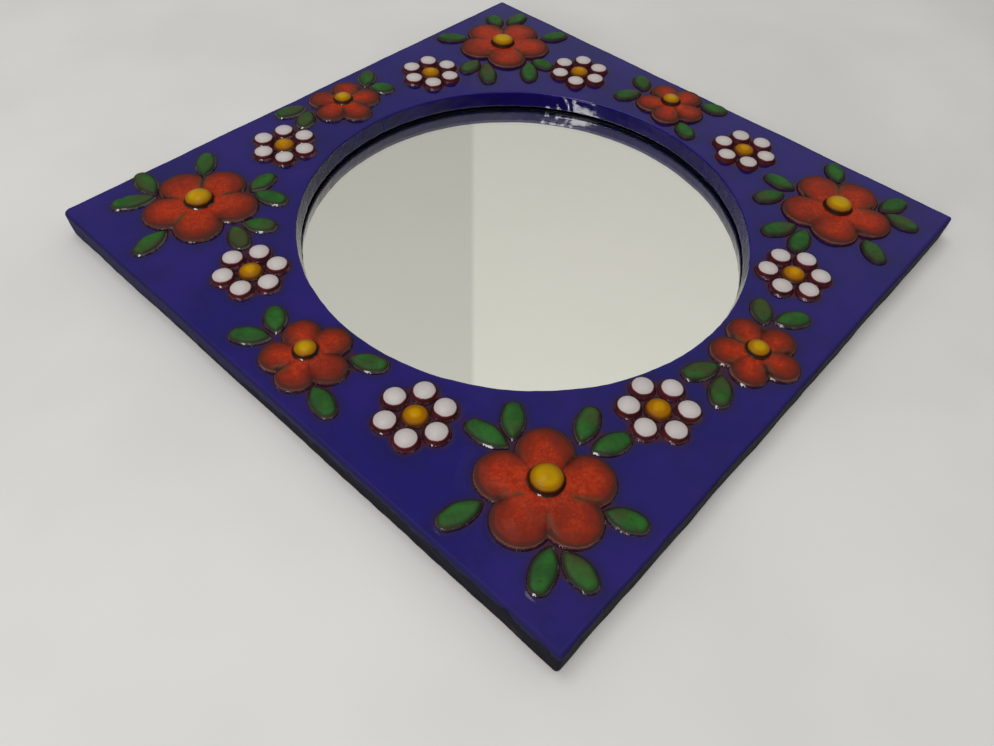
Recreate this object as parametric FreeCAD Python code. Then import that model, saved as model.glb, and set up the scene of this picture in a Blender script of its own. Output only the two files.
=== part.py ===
import FreeCAD, Part
import math
import os

from FreeCAD import Vector

# Square glazed-ceramic wall mirror with applied flowers, lying on its back with the mirror face up.
# Millimetres. X runs to the right and Y to the top as it hangs, Z out of the front face.
# The origin is the middle of the back face.

os.makedirs("parts", exist_ok=True)

# How near two points are when they count as the same
TOUCH = 0.01

# Slab, with sides that lean in towards the back by the undercut
SIDE = 300.0
THICKNESS = 12.5
UNDERCUT = 1.5
CORNER_ROUND = 1.5
WORN_CORNER_ROUND = 4.0
GLAZED_EDGE_ROUND = 1.1
FOOT_CHAMFER = 0.8

# Round opening, cut a little off the middle: the lip tapers inwards towards the glass
OPENING_MIDDLE = (0.6, -1.4)
OPENING_RADIUS = 106.0
LIP_BACK_RADIUS = 104.7
LIP_DEPTH = 7.8
LIP_ROUND = 0.7

# Mirror set into a rebate in the back
REBATE_RADIUS = 111.8
BED_THICKNESS = 1.05
BED_INNER_RADIUS = 107.2
GLASS_RADIUS = 110.2
GLASS_THICKNESS = 2.0
BOARD_THICKNESS = 1.5

# Wire hanging loop, sprung into two holes across a pocket in the back
WIRE_RADIUS = 1.0
WIRE_CLEARANCE = 0.1
PIVOT_Y = 122.5
PIVOT_Z = 3.2
LOOP_HALF_WIDTH = 19.0
LOOP_REACH = 14.0
LOOP_BEND_RADIUS = 4.0
POCKET_HALF_WIDTH = 22.0
POCKET_BELOW_PIVOT = 4.5
POCKET_ABOVE_PIVOT = 18.0
POCKET_DEPTH = 6.0
POCKET_ROUND = 4.0
PIN_HOLE_DEPTH = 5.5
PIN_END_GAP = 1.0
FLOOR_GAP = 0.15

# Flowers: five round cushions run together; reach is from the flower's middle to a cushion's middle.
# A cushion has a low brim and a slope to its flat top; at the slope's knee, given as shares of
# its run and its rise, it eases off.
PETAL_BRIM = 1.2
PETAL_SLOPE = 2.4
PETAL_HEIGHT = 2.2
KNEE_RUN = 0.30
KNEE_RISE = 0.65
CORE_SHARE = 0.55
BUTTON_SEAT = 1.7
BUTTON_CLEARANCE = 0.1

CORNER_REACH = 15.4
CORNER_PETAL_RADIUS = 11.0
CORNER_BUTTON_RADIUS = 6.7
CORNER_BUTTON_HEIGHT = 3.5

SIDE_REACH = 11.3
SIDE_PETAL_RADIUS = 7.9
SIDE_BUTTON_RADIUS = 5.1
SIDE_BUTTON_HEIGHT = 2.8

# Round pads: their feet flare, and shoulder and crown are shares of the radius
PAD_FLARE = 0.4
BUTTON_SHOULDER = 0.38
BUTTON_CROWN = 0.15
PELLET_SHOULDER = 0.30
PELLET_CROWN = 0.12
CENTRE_SHOULDER = 0.30
CENTRE_CROWN = 0.20

# A leaf's sides swell from its point to the belly and the shoulder, given as shares of its length
# and of its half width. The edge lists how far the outline is drawn in at shares of the height.
LEAF_WIDTH = 9.6
LEAF_HEIGHT = 2.1
LEAF_BELLY_AT = 0.40
LEAF_BELLY_SHARE = 0.94
LEAF_SHOULDER_AT = 0.80
LEAF_SHOULDER_SHARE = 0.80
LEAF_POINT_DRAW = 1.6
LEAF_EDGE = ((0.0, 0.0), (0.25, 0.50), (0.8, 0.80), (1.7, 0.95), (2.8, 1.0))

# Daisies: six round pellets about a round centre
PELLET_RING = 11.6
PELLET_RADIUS = 4.9
PELLET_HEIGHT = 2.8
DAISY_CENTRE_RADIUS = 5.2
DAISY_CENTRE_HEIGHT = 2.4
PELLETS_PER_DAISY = 6

# Each flower: its middle, its petals' directions in degrees, where its button stands off
# that middle, and its leaves as (direction to the leaf's point, distance to it, way it points,
# length). The work is by hand, so no two are alike.
CORNER_FLOWERS = {
    "upper_left": dict(
        at=(-102.5, 109.0), petals=(17, 87, 160, 231, 309), button_off=(0.5, 1.5),
        leaves=((52, 21.5, 51, 18.5), (118, 23, 82, 20), (121, 22, 156, 20.5), (193, 22, 193, 19),
                (274, 23, 250, 17), (283, 25, 306, 16), (337, 25, 290, 17.5), (341, 23.5, 10, 16))),
    "upper_right": dict(
        at=(109.5, 111.0), petals=(8, 85, 153, 228, 301), button_off=(-1, 0.5),
        leaves=((37, 24, 5, 16.5), (51, 21, 62, 14.5), (119, 22.5, 132, 18), (185, 24.5, 190, 16),
                (197, 24.5, 228, 21), (259, 24, 222, 20.5), (266, 23.5, 279, 14), (333, 23.5, 334, 17))),
    "lower_right": dict(
        at=(111.5, -106.0), petals=(57, 138, 205, 278, 352), button_off=(1, 0),
        leaves=((24, 23, 40, 16), (91, 22.5, 90, 16.5), (106, 25.5, 150, 16.5), (162, 25.5, 151, 18.5),
                (173, 24, 191, 18.5), (243, 22.5, 234, 17), (308, 23.5, 271, 17), (314, 22, 340, 16.5))),
    "lower_left": dict(
        at=(-107.5, -107.0), petals=(40, 114, 188, 260, 325), button_off=(2.5, 1.5),
        leaves=((71, 23.5, 41, 18), (79, 21.5, 97, 19.5), (147, 22.5, 165, 18.5), (227, 22, 204, 19),
                (235, 24.5, 258, 17.5), (290, 22, 290, 16.5), (355, 24, 338, 17), (8, 24, 22, 18.5))),
}
SIDE_FLOWERS = {
    "top": dict(
        at=(1.0, 128.5), petals=(46, 126, 193, 263, 338), button_off=(0, 1),
        leaves=((8, 20, 305, 14), (14, 19, 41, 15.5), (150, 20.5, 164, 17), (161, 20, 218, 15.5))),
    "right": dict(
        at=(129.0, 3.5), petals=(52, 129, 200, 268, 345), button_off=(1, 1.5),
        leaves=((86, 19, 49, 15), (96, 19.5, 153, 16), (229, 17, 237, 15), (313, 16.5, 290, 14.5))),
    "bottom": dict(
        at=(2.5, -127.0), petals=(54, 132, 197, 271, 342), button_off=(0.5, 0),
        leaves=((10, 21, 323, 16.5), (19, 17.5, 40, 15.5), (157, 18, 153, 17), (170, 20.5, 209, 17))),
    "left": dict(
        at=(-126.5, 1.0), petals=(62, 140, 206, 276, 352), button_off=(0.5, 1.5),
        leaves=((94, 18, 57, 16), (104, 18, 127, 17.5), (238, 16, 254, 17.5), (310, 16, 298, 17))),
}
# Each daisy: its middle and the direction of its first pellet
DAISIES = {
    "top_left": ((-46.3, 119.3), 53),
    "top_right": ((55.2, 117.8), 53),
    "right_upper": ((117.8, 60.1), 28),
    "right_lower": ((121.1, -48.0), 41),
    "bottom_right": ((55.5, -114.4), 2),
    "bottom_left": ((-50.0, -115.3), 9),
    "left_lower": ((-117.3, -51.2), 29),
    "left_upper": ((-113.6, 55.7), 34),
}

Z_AXIS = Vector(0, 0, 1)
ledge_z = THICKNESS - LIP_DEPTH
glass_front_z = ledge_z - BED_THICKNESS
board_front_z = glass_front_z - GLASS_THICKNESS
board_back_z = board_front_z - BOARD_THICKNESS


def save(name, shape):
    shape.exportStep(f"parts/{name}.step")


def polar(radius, degrees, z=0.0):
    angle = math.radians(degrees)
    return Vector(radius * math.cos(angle), radius * math.sin(angle), z)


def placed(shape, at, degrees=0.0, z=THICKNESS):
    """A copy of a shape made at the origin, turned about Z and stood on the front face."""
    copy = shape.copy()
    copy.rotate(Vector(0, 0, 0), Z_AXIS, degrees)
    copy.translate(Vector(at[0], at[1], z))
    return copy


def revolved(points):
    """A solid of revolution about Z from (radius, z) points; three in a tuple are an arc."""
    edges = []
    for segment in points:
        corners = [Vector(radius, 0, z) for radius, z in segment]
        if len(corners) == 3:
            edges.append(Part.Arc(*corners).toShape())
        else:
            edges.append(Part.LineSegment(*corners).toShape())
    return Part.Face(Part.Wire(edges)).revolve(Vector(0, 0, 0), Z_AXIS, 360)


def round_pad(radius, height, shoulder_share, crown_share):
    """A round pad of clay: a foot that flares, upright sides, a soft shoulder and a low crown."""
    shoulder = shoulder_share * radius
    crown = crown_share * radius
    bevel = shoulder * (1 - math.sqrt(0.5))
    foot = (radius + PAD_FLARE, 0)
    waist = (radius, 2 * PAD_FLARE)
    shoulder_foot = (radius, height - shoulder)
    shoulder_middle = (radius - bevel, height - bevel)
    shoulder_top = (radius - shoulder, height)
    half = (radius - shoulder) / 2
    sphere = (4 * half ** 2 + crown ** 2) / (2 * crown)
    crown_middle = (half, height + crown - sphere + math.sqrt(sphere ** 2 - half ** 2))
    return revolved([
        ((0, 0), foot),
        (foot, waist),
        (waist, shoulder_foot),
        (shoulder_foot, shoulder_middle, shoulder_top),
        (shoulder_top, crown_middle, (0, height + crown)),
        ((0, height + crown), (0, 0)),
    ])


# The slab and the mirror set into it

def at_opening(shape):
    shape.translate(Vector(OPENING_MIDDLE[0], OPENING_MIDDLE[1], 0))
    return shape


def slab_blank():
    """The slab before anything is cut from it; its upper-left corner is worn rounder."""
    back = SIDE / 2 - UNDERCUT
    front = SIDE / 2
    blank = Part.makeWedge(-back, 0, -back, -front, -front, back, THICKNESS, back, front, front)
    blank.rotate(Vector(0, 0, 0), Vector(1, 0, 0), 90)
    middle = (back + front) / 2
    for side_x, side_y in ((1, 1), (1, -1), (-1, -1), (-1, 1)):
        at = Vector(side_x * middle, side_y * middle, THICKNESS / 2)
        corner = [edge for edge in blank.Edges if edge.CenterOfMass.isEqual(at, TOUCH)]
        worn = side_x < 0 < side_y
        blank = blank.makeFillet(WORN_CORNER_ROUND if worn else CORNER_ROUND, corner)
    arris = [edge for edge in blank.Edges if edge.BoundBox.ZMin > THICKNESS - TOUCH]
    blank = blank.makeFillet(GLAZED_EDGE_ROUND, arris)
    foot = [edge for edge in blank.Edges if edge.BoundBox.ZMax < TOUCH]
    return blank.makeChamfer(FOOT_CHAMFER, foot)


def opening_tool():
    """What the opening, its rounded lip and the rebate take out of the slab."""
    under = -1
    over = THICKNESS + 1
    lip = LIP_ROUND * (1 - math.sqrt(0.5))
    return at_opening(revolved([
        ((0, under), (REBATE_RADIUS, under)),
        ((REBATE_RADIUS, under), (REBATE_RADIUS, ledge_z)),
        ((REBATE_RADIUS, ledge_z), (LIP_BACK_RADIUS, ledge_z)),
        ((LIP_BACK_RADIUS, ledge_z), (OPENING_RADIUS, THICKNESS - LIP_ROUND)),
        ((OPENING_RADIUS, THICKNESS - LIP_ROUND), (OPENING_RADIUS + lip, THICKNESS - lip),
         (OPENING_RADIUS + LIP_ROUND, THICKNESS)),
        ((OPENING_RADIUS + LIP_ROUND, THICKNESS), (OPENING_RADIUS + LIP_ROUND, over)),
        ((OPENING_RADIUS + LIP_ROUND, over), (0, over)),
        ((0, over), (0, under)),
    ]))


def hanger_pocket():
    """The pocket in the back for the loop, with a hole in each end wall for its pins."""
    length = POCKET_BELOW_PIVOT + POCKET_ABOVE_PIVOT
    corner = Vector(-POCKET_HALF_WIDTH, PIVOT_Y - POCKET_BELOW_PIVOT, -1)
    pocket = Part.makeBox(2 * POCKET_HALF_WIDTH, length, POCKET_DEPTH + 1, corner)
    upright = [e for e in pocket.Edges if e.BoundBox.ZLength > POCKET_DEPTH / 2]
    pocket = pocket.makeFillet(POCKET_ROUND, upright)
    bore = 2 * (POCKET_HALF_WIDTH + PIN_HOLE_DEPTH)
    start = Vector(-bore / 2, PIVOT_Y, PIVOT_Z)
    return pocket.fuse(Part.makeCylinder(WIRE_RADIUS + WIRE_CLEARANCE, bore, start, Vector(1, 0, 0)))


def frame_slab():
    return slab_blank().cut(opening_tool()).cut(hanger_pocket())


def setting_putty():
    """The bed between lip and glass, and the fill round the edge of glass and board."""
    return at_opening(revolved([
        ((BED_INNER_RADIUS, glass_front_z), (GLASS_RADIUS, glass_front_z)),
        ((GLASS_RADIUS, glass_front_z), (GLASS_RADIUS, board_back_z)),
        ((GLASS_RADIUS, board_back_z), (REBATE_RADIUS, board_back_z)),
        ((REBATE_RADIUS, board_back_z), (REBATE_RADIUS, ledge_z)),
        ((REBATE_RADIUS, ledge_z), (BED_INNER_RADIUS, ledge_z)),
        ((BED_INNER_RADIUS, ledge_z), (BED_INNER_RADIUS, glass_front_z)),
    ]))


def mirror_glass():
    return at_opening(Part.makeCylinder(GLASS_RADIUS, GLASS_THICKNESS, Vector(0, 0, board_front_z)))


def backing_board():
    return at_opening(Part.makeCylinder(GLASS_RADIUS, BOARD_THICKNESS, Vector(0, 0, board_back_z)))


def bend(before, corner, after, radius):
    """The tangent arc that rounds a corner of the wire, with its two ends."""
    back = (before - corner).normalize()
    ahead = (after - corner).normalize()
    half = back.getAngle(ahead) / 2
    run = radius / math.tan(half)
    inward = (back + ahead).normalize()
    middle = corner + inward * (radius / math.sin(half) - radius)
    start = corner + back * run
    end = corner + ahead * run
    return start, Part.Arc(start, middle, end).toShape(), end


def hanging_loop():
    """Two pins on one line and a triangle between them, resting where the loop drops to the wall side."""
    pin_end = POCKET_HALF_WIDTH + PIN_HOLE_DEPTH - PIN_END_GAP
    corners = [Vector(-pin_end, 0, 0), Vector(-LOOP_HALF_WIDTH, 0, 0), Vector(0, LOOP_REACH, 0),
               Vector(LOOP_HALF_WIDTH, 0, 0), Vector(pin_end, 0, 0)]
    edges = []
    at = corners[0]
    for before, corner, after in zip(corners, corners[1:], corners[2:]):
        start, arc, end = bend(before, corner, after, LOOP_BEND_RADIUS)
        edges.append(Part.LineSegment(at, start).toShape())
        edges.append(arc)
        at = end
    edges.append(Part.LineSegment(at, corners[-1]).toShape())
    section = Part.Wire(Part.Circle(corners[0], Vector(1, 0, 0), WIRE_RADIUS).toShape())
    loop = Part.Wire(edges).makePipeShell([section], True, False)
    drop = math.degrees(math.asin((PIVOT_Z - WIRE_RADIUS - FLOOR_GAP) / LOOP_REACH))
    loop.rotate(Vector(0, 0, 0), Vector(1, 0, 0), -drop)
    loop.translate(Vector(0, PIVOT_Y, PIVOT_Z))
    return loop


# Applied flowers, leaves and daisies

def cushion(radius):
    """A round cushion of clay: an upright brim and a slope that eases off to a flat top."""
    brim = (radius, PETAL_BRIM)
    knee = (radius - KNEE_RUN * PETAL_SLOPE, PETAL_BRIM + KNEE_RISE * (PETAL_HEIGHT - PETAL_BRIM))
    slope_top = (radius - PETAL_SLOPE, PETAL_HEIGHT)
    return revolved([
        ((0, 0), (radius, 0)),
        ((radius, 0), brim),
        (brim, knee),
        (knee, slope_top),
        (slope_top, (0, PETAL_HEIGHT)),
        ((0, PETAL_HEIGHT), (0, 0)),
    ])


def flower_body(petals, reach, radius, button_off, button_radius):
    """Five cushions and a core in one piece, with valleys where the petals meet and a button's seat."""
    petal = cushion(radius)
    body = Part.makeCylinder(CORE_SHARE * reach, PETAL_HEIGHT)
    for direction in petals:
        spot = polar(reach, direction)
        body = body.fuse(placed(petal, (spot.x, spot.y), direction, 0))
    body = body.removeSplitter()
    seat_radius = button_radius + PAD_FLARE + BUTTON_CLEARANCE
    seat_foot = Vector(button_off[0], button_off[1], BUTTON_SEAT)
    seat = Part.makeCylinder(seat_radius, PETAL_HEIGHT, seat_foot)
    return body.cut(seat)


def leaf_outline(length, inset, z):
    """An oval with a point at the origin and a round end along X, drawn in by the inset."""
    half = LEAF_WIDTH / 2 - inset
    point = Vector(LEAF_POINT_DRAW * inset, 0, z)
    tip = Vector(length - inset, 0, z)
    run = tip.x - point.x
    sides = []
    for way in (1, -1):
        belly = Vector(point.x + LEAF_BELLY_AT * run, way * LEAF_BELLY_SHARE * half, z)
        shoulder = Vector(point.x + LEAF_SHOULDER_AT * run, way * LEAF_SHOULDER_SHARE * half, z)
        sides.append((point, belly, shoulder))
    upper, lower = sides
    return Part.Wire([
        Part.Arc(*upper).toShape(),
        Part.Arc(upper[2], tip, lower[2]).toShape(),
        Part.Arc(*reversed(lower)).toShape(),
    ])


def leaf(length):
    """A leaf cut from the sheet, its upper edge softened by the glaze."""
    wires = [leaf_outline(length, inset, share * LEAF_HEIGHT) for inset, share in LEAF_EDGE]
    return Part.makeLoft(wires, True, False)


def leaf_group(flower):
    """The leaves round one flower, each standing on its own spot."""
    middle = Vector(flower["at"][0], flower["at"][1], 0)
    shapes = []
    for spot_direction, spot_distance, direction, length in flower["leaves"]:
        spot = middle + polar(spot_distance, spot_direction)
        shapes.append(placed(leaf(length), (spot.x, spot.y), direction))
    return Part.makeCompound(shapes)


def save_flowers(prefix, flowers, reach, radius, button_radius, button_height):
    button = round_pad(button_radius, button_height, BUTTON_SHOULDER, BUTTON_CROWN)
    for name, flower in flowers.items():
        body = flower_body(flower["petals"], reach, radius, flower["button_off"], button_radius)
        save(f"{prefix}_flower_{name}", placed(body, flower["at"]))
        stand = [middle + off for middle, off in zip(flower["at"], flower["button_off"])]
        save(f"{prefix}_button_{name}", placed(button, stand, 0, THICKNESS + BUTTON_SEAT))
        save(f"{prefix}_leaves_{name}", leaf_group(flower))


def save_daisies():
    pellet = round_pad(PELLET_RADIUS, PELLET_HEIGHT, PELLET_SHOULDER, PELLET_CROWN)
    centre = round_pad(DAISY_CENTRE_RADIUS, DAISY_CENTRE_HEIGHT, CENTRE_SHOULDER, CENTRE_CROWN)
    step = 360 / PELLETS_PER_DAISY
    for name, (at, turn) in DAISIES.items():
        middle = Vector(at[0], at[1], 0)
        spots = [middle + polar(PELLET_RING, turn + step * i) for i in range(PELLETS_PER_DAISY)]
        save(f"daisy_petals_{name}", Part.makeCompound([placed(pellet, (s.x, s.y)) for s in spots]))
        save(f"daisy_centre_{name}", placed(centre, at))


save("frame_slab", frame_slab())
save("setting_putty", setting_putty())
save("mirror_glass", mirror_glass())
save("backing_board", backing_board())
save("hanging_loop", hanging_loop())
save_flowers("corner", CORNER_FLOWERS, CORNER_REACH, CORNER_PETAL_RADIUS,
             CORNER_BUTTON_RADIUS, CORNER_BUTTON_HEIGHT)
save_flowers("side", SIDE_FLOWERS, SIDE_REACH, SIDE_PETAL_RADIUS,
             SIDE_BUTTON_RADIUS, SIDE_BUTTON_HEIGHT)
save_daisies()
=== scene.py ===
import math

import bpy
import numpy as np
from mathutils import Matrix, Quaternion, Vector
from mathutils.kdtree import KDTree


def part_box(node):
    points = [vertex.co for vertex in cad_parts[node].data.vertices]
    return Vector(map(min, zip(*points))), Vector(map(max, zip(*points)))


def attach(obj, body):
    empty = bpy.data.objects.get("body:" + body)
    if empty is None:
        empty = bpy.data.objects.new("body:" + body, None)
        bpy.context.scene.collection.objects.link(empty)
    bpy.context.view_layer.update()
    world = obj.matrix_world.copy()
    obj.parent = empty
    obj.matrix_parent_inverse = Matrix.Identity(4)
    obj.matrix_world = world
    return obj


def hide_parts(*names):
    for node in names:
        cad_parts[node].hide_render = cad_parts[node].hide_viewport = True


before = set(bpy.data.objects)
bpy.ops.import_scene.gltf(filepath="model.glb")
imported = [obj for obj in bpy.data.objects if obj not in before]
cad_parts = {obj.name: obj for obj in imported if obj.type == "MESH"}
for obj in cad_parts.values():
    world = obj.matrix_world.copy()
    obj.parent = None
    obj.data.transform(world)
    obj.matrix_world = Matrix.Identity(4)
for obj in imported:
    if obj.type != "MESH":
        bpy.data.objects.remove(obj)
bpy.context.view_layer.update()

# Looks of a square glazed-ceramic wall mirror with applied flowers, lying on its back.
# Metres. The frame's solids give every place and size; what is named here is surface work.

MM = 0.001
TOUCH = 0.005 * MM
BODY = "mirror"
SLAB = "frame_slab"
GLASS = "mirror_glass"
LOOP = "hanging_loop"

# Camera, solved from the slab's corners and the round opening
CAMERA_AT = (-0.23646, -0.19001, 0.25851)
CAMERA_AIM = (-0.07976, -0.05832, 0.0125)
CAMERA_ROLL = 3.58
CAMERA_LENS = 29.28
SENSOR_WIDTH = 36.0
NEAREST_SEEN = 0.01

# Slab: rounding of its edges. The last ring of its face lies ARRIS_MARGIN inside the arris.
CORNER_ROUNDS = (1.5 * MM, 4.0 * MM, 1.5 * MM, 1.5 * MM)
LEAST_ROUND = 0.4 * MM
LIP_ROUND = 0.7 * MM
LIP_FOOT_ROUND = 0.4 * MM
GLAZED_EDGE_ROUND = 1.1 * MM
ARRIS_MARGIN = 0.3 * MM
FOOT_CHAMFER = 0.8 * MM
POCKET_ROUND = 4.0 * MM

# The sides lean in towards the back by a share of the undercut: this share on average, and so much
# more at the +X and +Y sides and less at the other two
UNDERCUT = 1.5 * MM
LEAN_MIDDLE = 0.45
LEAN_BY_X = 0.20
LEAN_BY_Y = 0.25

# Slab: spacing of its mesh, and the rings over which the face grows level at its edges
RUN_POINTS = 240
CORNER_POINTS = 10
FACE_RINGS = 56
BACK_RINGS = 6
SIDE_RINGS = 8
LIP_RINGS = 8
ROUND_RINGS = 6
CALM_RINGS = 8
SHARP_EDGE = 50.0

# Slab: unevenness of its surfaces, each as height, wavelength and seed
FACE_SWELL = (0.10 * MM, 70 * MM, 5)
FACE_GRAIN = (0.035 * MM, 16 * MM, 6)
SIDE_SWELL = (0.18 * MM, 45 * MM, 7)
SIDE_GRAIN = (0.08 * MM, 9 * MM, 8)
LIP_SWELL = (0.08 * MM, 26 * MM, 3)
LIP_GRAIN = (0.06 * MM, 6 * MM, 4)

# Runs of glaze down the lip: they form where a ripple passes a level, and start below the face
LIP_RUNS = (1.0, 15 * MM, 9)
RUN_LEVEL = 0.9
RUN_HEIGHT = 0.8 * MM
RUN_BELOW_FACE = 2 * MM

# Glaze on the face, by distance from the relief: where the face is level, and the fillet at the foot
LEVEL_NEAR = 0.5 * MM
LEVEL_UNTIL = 7 * MM
FILLET_HEIGHT = 0.22 * MM
FILLET_REACH = 0.7 * MM

# Finding the loop's pocket on the solid, and the tools that cut it
SEARCH_PAST_PINS = 2 * MM
SEARCH_MARGIN = 5 * MM
REBATE_MARGIN = 4 * MM
CUT_PROUD = 1 * MM
POCKET_CORNER_POINTS = 7
BORE_POINTS = 24

# Mirror
GLASS_CLEARANCE = 0.02 * MM
GLASS_POINTS = 256

# Relief: mesh size, a shelf of whole voxels that is taller than the part, how often each kind is
# smoothed, and how uneven it is
CLAY_VOXEL = 0.4 * MM
SHELF = 50 * CLAY_VOXEL
SMOOTHING = 0.5
FLOWER_SOFTNESS = 3
LEAF_SOFTNESS = 6
PELLET_SOFTNESS = 4
BUTTON_SOFTNESS = 14
FLOWER_WOBBLE = 0.10 * MM
LEAF_WOBBLE = 0.12 * MM
PELLET_WOBBLE = 0.10 * MM
BUTTON_WOBBLE = 0.06 * MM
WOBBLE_LENGTH = 9 * MM

# Relief: from where to where a surface turns into a flank, by how far its normal points sideways,
# and into a top, by how far it points up
FLANK_SPAN = (0.5, 0.9)
TOP_SPAN = (0.2, 0.6)

# Relief: how the glaze runs out round its foot
SKIRT_WIDTH = 1.3 * MM
SKIRT_HEIGHT = 1.2 * MM
FOOT_SINK = 0.25 * MM
SINK_FROM = 0.1 * MM
SINK_TO = 0.6 * MM
OUTLINE_STEP = 0.4 * MM
HALO_REACH = 8.0 * MM
POOL_REACH = 3.5 * MM

# Flowers: the line along the brim, the crown, and the creases between petals, which fade inwards
RIM_IN = 0.55 * MM
RIM_WIDTH = 0.30 * MM
RIM_HEIGHT = 0.18 * MM
CROWN_FROM = 2.0 * MM
CROWN_TO = 8.5 * MM
CROWN_HEIGHT = 0.20 * MM
NOTCH_WINDOW = 0.35
CREASE_RUN = 9.0 * MM
CREASE_WIDTH = 1.6 * MM
CREASE_DEPTH = 0.25 * MM
CREASE_FADE = 0.18


def srgb(red, green, blue):
    """A colour written as it shows, 0 to 255, as the linear values that shaders take."""
    shares = [channel / 255 for channel in (red, green, blue)]
    linear = [s / 12.92 if s <= 0.04045 else ((s + 0.055) / 1.055) ** 2.4 for s in shares]
    return (*linear, 1.0)


def ripple(points, wavelength, seed, waves=7):
    """A smooth, repeatable unevenness between about -1 and 1, from waves in several directions."""
    draw = np.random.default_rng(seed)
    total = np.zeros(len(points))
    for _ in range(waves):
        way = draw.normal(size=3)
        way /= np.linalg.norm(way)
        pace = 2 * math.pi / (wavelength * draw.uniform(0.7, 1.5))
        total += np.sin(points @ way * pace + draw.uniform(0, 2 * math.pi))
    return total / math.sqrt(waves)


def unevenness(points, height, wavelength, seed):
    """A ripple of this height."""
    return height * ripple(points, wavelength, seed)


def smoothstep(values, low, high):
    """0 at the first limit and beyond, 1 at the second, easing between them."""
    share = np.clip((values - low) / (high - low), 0, 1)
    return share * share * (3 - 2 * share)


# Reading the frame

def mesh_points(mesh):
    flat = np.empty(len(mesh.vertices) * 3, np.float32)
    mesh.vertices.foreach_get("co", flat)
    return flat.reshape(-1, 3).astype(float)


def node_points(node):
    return mesh_points(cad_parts[node].data)


def foot_outline(node):
    """Points close together along the edge of a node's flat underside."""
    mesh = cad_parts[node].data
    points = mesh_points(mesh)
    foot = points[:, 2].min()
    counts = {}
    for polygon in mesh.polygons:
        corners = [points[i] for i in polygon.vertices]
        if max(c[2] for c in corners) > foot + TOUCH:
            continue
        for a, b in zip(corners, corners[1:] + corners[:1]):
            key = frozenset((tuple(np.round(a, 6)), tuple(np.round(b, 6))))
            counts[key] = counts.get(key, 0) + 1
    outline = []
    for key, count in counts.items():
        if count != 1 or len(key) != 2:
            continue
        a, b = (np.array(end) for end in key)
        steps = max(1, math.ceil(np.linalg.norm(b - a) / OUTLINE_STEP))
        outline.extend(a + (b - a) * i / steps for i in range(steps))
    return np.array(outline)


def plan_tree(targets):
    tree = KDTree(len(targets))
    for index, target in enumerate(targets):
        tree.insert((target[0], target[1], 0), index)
    tree.balance()
    return tree


def distances(points, tree):
    """Distance in plan from each point to the nearest target in the tree."""
    return np.array([tree.find((p[0], p[1], 0))[2] for p in points])


def crowding(points, tree):
    """How many targets lie round each point, in plan; they are evenly spaced along outlines."""
    return np.array([len(tree.find_range((p[0], p[1], 0), POOL_REACH)) for p in points])


# Making pieces

def add_piece(name, mesh, material, node):
    mesh.materials.clear()
    mesh.materials.append(material)
    mesh.shade_smooth()
    mesh.set_sharp_from_angle(angle=math.radians(SHARP_EDGE))
    piece = bpy.data.objects.new(name, mesh)
    bpy.context.scene.collection.objects.link(piece)
    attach(piece, BODY)
    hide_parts(node)


def set_attribute(mesh, name, values):
    attribute = mesh.attributes.new(name, "FLOAT", "POINT")
    attribute.data.foreach_set("value", np.asarray(values, np.float32))


def holder_of(mesh):
    holder = bpy.data.objects.new("holder", mesh)
    bpy.context.scene.collection.objects.link(holder)
    return holder


def evaluated_mesh(holder):
    """The holder's mesh with its modifiers applied; the holder is removed."""
    depsgraph = bpy.context.evaluated_depsgraph_get()
    mesh = bpy.data.meshes.new_from_object(holder.evaluated_get(depsgraph))
    bpy.data.objects.remove(holder)
    return mesh


def put_points(mesh, points):
    mesh.vertices.foreach_set("co", points.astype(np.float32).ravel())
    mesh.update()


def solid_numbers(mesh):
    """Which of a node's separate solids each vertex belongs to; corners at one place are one."""
    _, place = np.unique(np.round(mesh_points(mesh), 7), axis=0, return_inverse=True)
    place = place.ravel()
    ends = np.empty(len(mesh.edges) * 2, np.int32)
    mesh.edges.foreach_get("vertices", ends)
    first, second = place[ends.reshape(-1, 2)].T
    label = np.arange(place.max() + 1)
    settled = False
    while not settled:
        lowest = np.minimum(label[first], label[second])
        spread = label.copy()
        np.minimum.at(spread, first, lowest)
        np.minimum.at(spread, second, lowest)
        spread = spread[spread]
        settled = (spread == label).all()
        label = spread
    return np.unique(label, return_inverse=True)[1].ravel()[place]


def clay_mesh(node, softness):
    """A fine copy of a node's solids, smoothed this many times. Each solid is on a shelf of its own
    meanwhile, so that neighbours don't grow together."""
    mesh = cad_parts[node].data.copy()
    points = mesh_points(mesh)
    points[:, 2] += SHELF * solid_numbers(mesh)
    put_points(mesh, points)
    holder = holder_of(mesh)
    remesh = holder.modifiers.new("remesh", "REMESH")
    remesh.mode = "VOXEL"
    remesh.voxel_size = CLAY_VOXEL
    smooth = holder.modifiers.new("smooth", "SMOOTH")
    smooth.factor = SMOOTHING
    smooth.iterations = softness
    result = evaluated_mesh(holder)
    points = mesh_points(result)
    points[:, 2] %= SHELF
    put_points(result, points)
    return result


def vertex_normals(mesh):
    flat = np.empty(len(mesh.vertices) * 3, np.float32)
    mesh.vertex_normals.foreach_get("vector", flat)
    return flat.reshape(-1, 3).astype(float)


def notch_points(outline):
    """The inmost points of the gaps between a flower's petals, and the flower's middle."""
    middle = outline[:, :2].mean(0)
    arms = outline[:, :2] - middle
    reach = np.hypot(arms[:, 0], arms[:, 1])
    angle = np.arctan2(arms[:, 1], arms[:, 0])
    found = []
    for index in np.argsort(reach):
        turn = np.abs((angle - angle[index] + math.pi) % (2 * math.pi) - math.pi)
        if reach[index] <= reach[turn < NOTCH_WINDOW].min() + TOUCH:
            if all(np.linalg.norm(outline[index, :2] - other) > CREASE_RUN for other in found):
                found.append(outline[index, :2])
    return found, middle


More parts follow.
